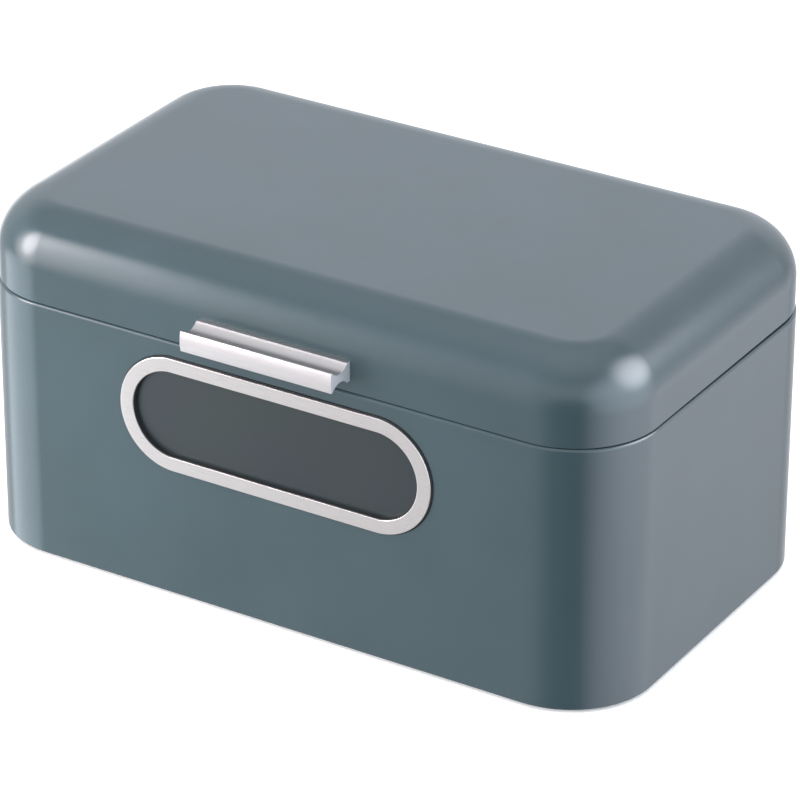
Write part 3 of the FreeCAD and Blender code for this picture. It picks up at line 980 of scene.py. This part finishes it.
@dataclass
class BarHandle:
    """The short extruded bar: flat back, crowned front, a round groove above and below."""

    back_flange: float = 3 * MM
    front_lip: float = 1.0 * MM
    crown: float = 0.8 * MM
    groove: float = 3.3 * MM
    edge_round: float = 0.35 * MM
    facets: int = 192
    finish: Finish = ALUMINIUM
    # The grooves' darker colour is painted shade in their hollows.
    groove_shade_finish: Finish = GROOVE_SHADE_ALUMINIUM
    end_finish: Finish = SAWN_ALUMINIUM

    def build(self) -> bpy.types.Object:
        """Models the bar from a block, a crowned front and two groove cuts.

        Returns:
            The finished piece.
        """
        low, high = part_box("handle")
        low, high = Vector(low), Vector(high)
        middle = (low + high) / 2
        half_height = (high.z - low.z) / 2
        tool_length = (high.x - low.x) * 1.5
        piece = block("bar_handle", low, high)

        crown_radius = (half_height**2 + self.crown**2) / (2 * self.crown)
        centre = Vector((0, low.y + crown_radius, middle.z))
        cut(piece, rod("crown_tool", centre, crown_radius, tool_length, "X", 2 * self.facets), Keep.INSIDE)

        groove_low = low.y + self.crown + self.front_lip
        groove_high = high.y - self.back_flange
        half_chord = (groove_high - groove_low) / 2
        groove_radius = (half_chord**2 + self.groove**2) / (2 * self.groove)
        for side in (1, -1):
            z = middle.z + side * (half_height - self.groove + groove_radius)
            centre = Vector((0, (groove_low + groove_high) / 2, z))
            cut(piece, rod("groove_tool", centre, groove_radius, tool_length, "X", self.facets))
        break_edges(piece, self.edge_round)
        smooth(piece)
        self.finish.dress(piece)
        # The groove faces get the darker colour: painted shade in their hollows.
        self.groove_shade_finish.dress_faces(piece, lambda face: groove_low < face.center.y < groove_high)
        self.end_finish.dress_faces(piece, lambda face: abs(face.normal.x) > 0.9)
        place_piece(piece, "lid", "handle")
        return piece


class Hardware(Enum):
    """Finishes for the small parts that keep their CAD shape, by the words in their names."""

    PLATED = (ZINC, ("hinge_", "rivets", "nuts", "studs", "retainer", "screws", "washers"))
    RUBBER = (RUBBER, ("foot_",))
    SILICONE = (SILICONE, ("lid_buffers",))
    LACQUERED = (INNER_LACQUER, ("bottom_panel",))

    def dress(self) -> None:
        """Gives the finish to every CAD node whose name holds one of the words."""
        finish, words = self.value
        for name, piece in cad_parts.items():
            if any(word in name for word in words):
                finish.dress(piece)
                log.info("%s: CAD shape with %s", name, finish.name)


# ------------------------------------------------------------------ studio
def direction(bearing: float, height: float) -> Vector:
    """The unit vector towards a bearing and a height, both in degrees.

    Args:
        bearing: measured from the bin's back towards its right end.
        height: the angle above the floor.

    Returns:
        The direction away from the bin.
    """
    turn, lift = math.radians(bearing), math.radians(height)
    return Vector((math.sin(turn) * math.cos(lift), math.cos(turn) * math.cos(lift), math.sin(lift)))


class Reach(Enum):
    """What a light acts on."""

    GLOSS = "reflections"
    SHADING = "diffuse shading"


@dataclass
class Softbox:
    """An oval soft light aimed at the bin.

    The bearing is measured round the bin from the back, towards its right end, and the height is the
    angle above the floor, both in degrees. The width and the tall side are the angles that the light
    fills. Its brightness falls to nothing towards its rim, over the soft share of its radius.
    """

    name: str
    bearing: float
    height: float
    width: float
    tall: float
    radiance: float
    soft: float = 0.6
    colour: str = "#FFFFFF"
    distance: float = 1.6
    reach: Reach = Reach.GLOSS

    def build(self, centre: Vector) -> None:
        """Adds the light.

        Args:
            centre: the point that it faces.
        """
        size = [2 * self.distance * math.tan(math.radians(angle / 2)) for angle in (self.width, self.tall)]
        data = bpy.data.lights.new(self.name, "AREA")
        data.shape = "ELLIPSE"
        data.size, data.size_y = size
        data.energy = self.radiance * math.pi**2 / 4 * size[0] * size[1]
        data.color = linear(self.colour)[:3]
        data.use_nodes = True
        tree = data.node_tree
        face = add_node(tree, "ShaderNodeNewGeometry").outputs["Parametric"]
        centred = add_node(tree, "ShaderNodeMapping", Vector=face, Location=(-1, -1, 0), Scale=(2, 2, 0))
        inwards = add_node(
            tree, "ShaderNodeTexGradient", {"gradient_type": "SPHERICAL"}, Vector=centred
        ).outputs["Fac"]
        fall = add_node(
            tree, "ShaderNodeMapRange", {"interpolation_type": "SMOOTHSTEP"},
            Value=inwards, From_Max=self.soft,
        )
        feed(tree, tree.nodes["Emission"], Strength=fall)

        light = bpy.data.objects.new(self.name, data)
        bpy.context.scene.collection.objects.link(light)
        way = direction(self.bearing, self.height)
        light.location = centre + way * self.distance
        light.rotation_euler = way.to_track_quat("Z", "Y").to_euler()
        light.visible_camera = False
        light.visible_diffuse = self.reach is not Reach.GLOSS
        light.visible_glossy = self.reach is not Reach.SHADING


@dataclass
class Studio:
    """A pale floor, a pale surround and large soft lights on both sides."""

    floor_size: float = 14.0
    floor_colour: str = "#FAFAFA"
    floor_glow: float = 0.25
    surround: tuple[tuple[float, str], ...] = (
        (0.0, "#AFB1B5"), (0.27, "#B1B3B7"), (0.5, "#C3C5CA"), (0.72, "#E6E7EF"), (0.87, "#C6C9CF"),
        (0.94, "#DFE1E6"), (1.0, "#F8F9FC"),
    )
    surround_strength: float = 1.9
    softboxes: tuple[Softbox, ...] = (
        Softbox("right_key", 68, 30, 62, 64, 8.0, 0.8, "#F8F8FF"),
        Softbox("right_fill", 88, 12, 112, 90, 4.2, 1.0, "#E2F2FF"),
        Softbox("right_low", 80, -24, 130, 60, 1.9, 1.0, "#F2F2FF"),
        Softbox("left_key", -130, 21, 26, 48, 11.0, 0.6, "#FFF8FC"),
        Softbox("left_fill", -130, 12, 48, 64, 5.2, 0.7, "#FFF4FA"),
        Softbox("left_low", -112, -26, 56, 44, 2.2, 0.4, "#EAF4FF"),
        Softbox("rear_left", -58, -8, 34, 40, 1.6, 0.8, "#FFFFFF"),
        Softbox("left_wash", -150, 4, 44, 40, 13.0, 0.6, "#FFEFEA", 0.8, Reach.SHADING),
    )
    gap_bearing: float = 157.0
    gap_height: float = -20.0
    gap_inner: float = 10.0
    gap_outer: float = 38.0
    gap_depth: float = 0.8

    def build(self) -> None:
        """Adds the floor, the surround and the lights."""
        self._build_floor()
        self._build_surround()
        low, high = CAD_BOX
        centre = (Vector(low) + Vector(high)) / 2
        for softbox in self.softboxes:
            softbox.build(centre)

    def _build_floor(self) -> None:
        """Adds the floor, which the camera sees; the surround stands for the light it throws back."""
        bpy.ops.object.select_all(action="DESELECT")
        bpy.ops.mesh.primitive_plane_add(size=self.floor_size)
        floor = bpy.context.object
        floor.name = "studio_floor"
        material = bpy.data.materials.new("pale_floor")
        material.use_nodes = True
        shader = material.node_tree.nodes["Principled BSDF"]
        shader.inputs["Base Color"].default_value = linear(self.floor_colour)
        shader.inputs["Roughness"].default_value = 0.8
        shader.inputs["Emission Color"].default_value = (1, 1, 1, 1)
        shader.inputs["Emission Strength"].default_value = self.floor_glow
        floor.data.materials.append(material)
        floor.visible_diffuse = floor.visible_glossy = floor.visible_shadow = False
        floor.visible_transmission = False

    def _build_surround(self) -> None:
        """Adds the pale surround, a little darker towards the floor's edge."""
        world = bpy.data.worlds.new("studio_surround")
        world.use_nodes = True
        tree = world.node_tree
        bpy.context.scene.world = world
        place = add_node(tree, "ShaderNodeTexCoord").outputs["Object"]
        height = add_node(tree, "ShaderNodeSeparateXYZ", Vector=place).outputs["Z"]
        level = add_node(tree, "ShaderNodeMapRange", Value=height, From_Min=-1.0)
        colour = add_node(tree, "ShaderNodeValToRGB", stops=self.surround, Fac=level)
        gap = direction(self.gap_bearing, self.gap_height)
        nearness = add_node(
            tree, "ShaderNodeVectorMath", {"operation": "DOT_PRODUCT"}, Vector=place, Vector_001=gap
        ).outputs["Value"]
        outer, inner = (math.cos(math.radians(angle)) for angle in (self.gap_outer, self.gap_inner))
        strength = add_node(
            tree, "ShaderNodeMapRange", {"interpolation_type": "SMOOTHSTEP"}, Value=nearness,
            From_Min=outer, From_Max=inner,
            To_Min=self.surround_strength, To_Max=self.surround_strength * (1 - self.gap_depth),
        )
        feed(tree, tree.nodes["Background"], Color=colour, Strength=strength)
        bpy.context.scene.view_settings.view_transform = "Standard"


@dataclass
class ViewCamera:
    """A long lens a little to the right of the bin and above it."""

    azimuth: float = 31.562
    elevation: float = 27.254
    roll: float = -0.181
    lens_mm: float = 201.79
    distance: float = 2.5845
    slide_right: float = -3.304 * MM
    slide_down: float = -15.533 * MM

    def build(self) -> None:
        """Adds the camera, aimed at the middle of the steel body."""
        base_low, base_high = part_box("base_wall")
        lid_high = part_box("lid_shell")[1]
        target = Vector((0, (base_low[1] + base_high[1]) / 2, (base_low[2] + lid_high[2]) / 2))
        a, e, roll = (math.radians(v) for v in (self.azimuth, self.elevation, self.roll))
        forward = Vector((-math.sin(a) * math.cos(e), math.cos(a) * math.cos(e), -math.sin(e)))
        level_right = Vector((math.cos(a), math.sin(a), 0))
        level_down = forward.cross(level_right)
        right = math.cos(roll) * level_right + math.sin(roll) * level_down
        down = -math.sin(roll) * level_right + math.cos(roll) * level_down
        place = target - forward * self.distance - right * self.slide_right - down * self.slide_down

        data = bpy.data.cameras.new("view_camera")
        data.lens = self.lens_mm
        data.sensor_width = 36
        data.clip_start, data.clip_end = 0.05, 50
        camera = bpy.data.objects.new("view_camera", data)
        bpy.context.scene.collection.objects.link(camera)
        turn = Matrix((right, -down, -forward)).transposed()
        camera.matrix_world = Matrix.Translation(place) @ turn.to_4x4()
        bpy.context.scene.camera = camera


def main() -> None:
    """Builds the studio and every sub-assembly in order."""
    logging.basicConfig(level=logging.INFO, format="%(message)s")
    ViewCamera().build()
    Studio().build()
    window = Window()
    BaseBody().build(window)
    window.build()
    LidCover().build()
    BarHandle().build()
    for hardware in Hardware:
        hardware.dress()


if __name__ == "__main__":
    main()
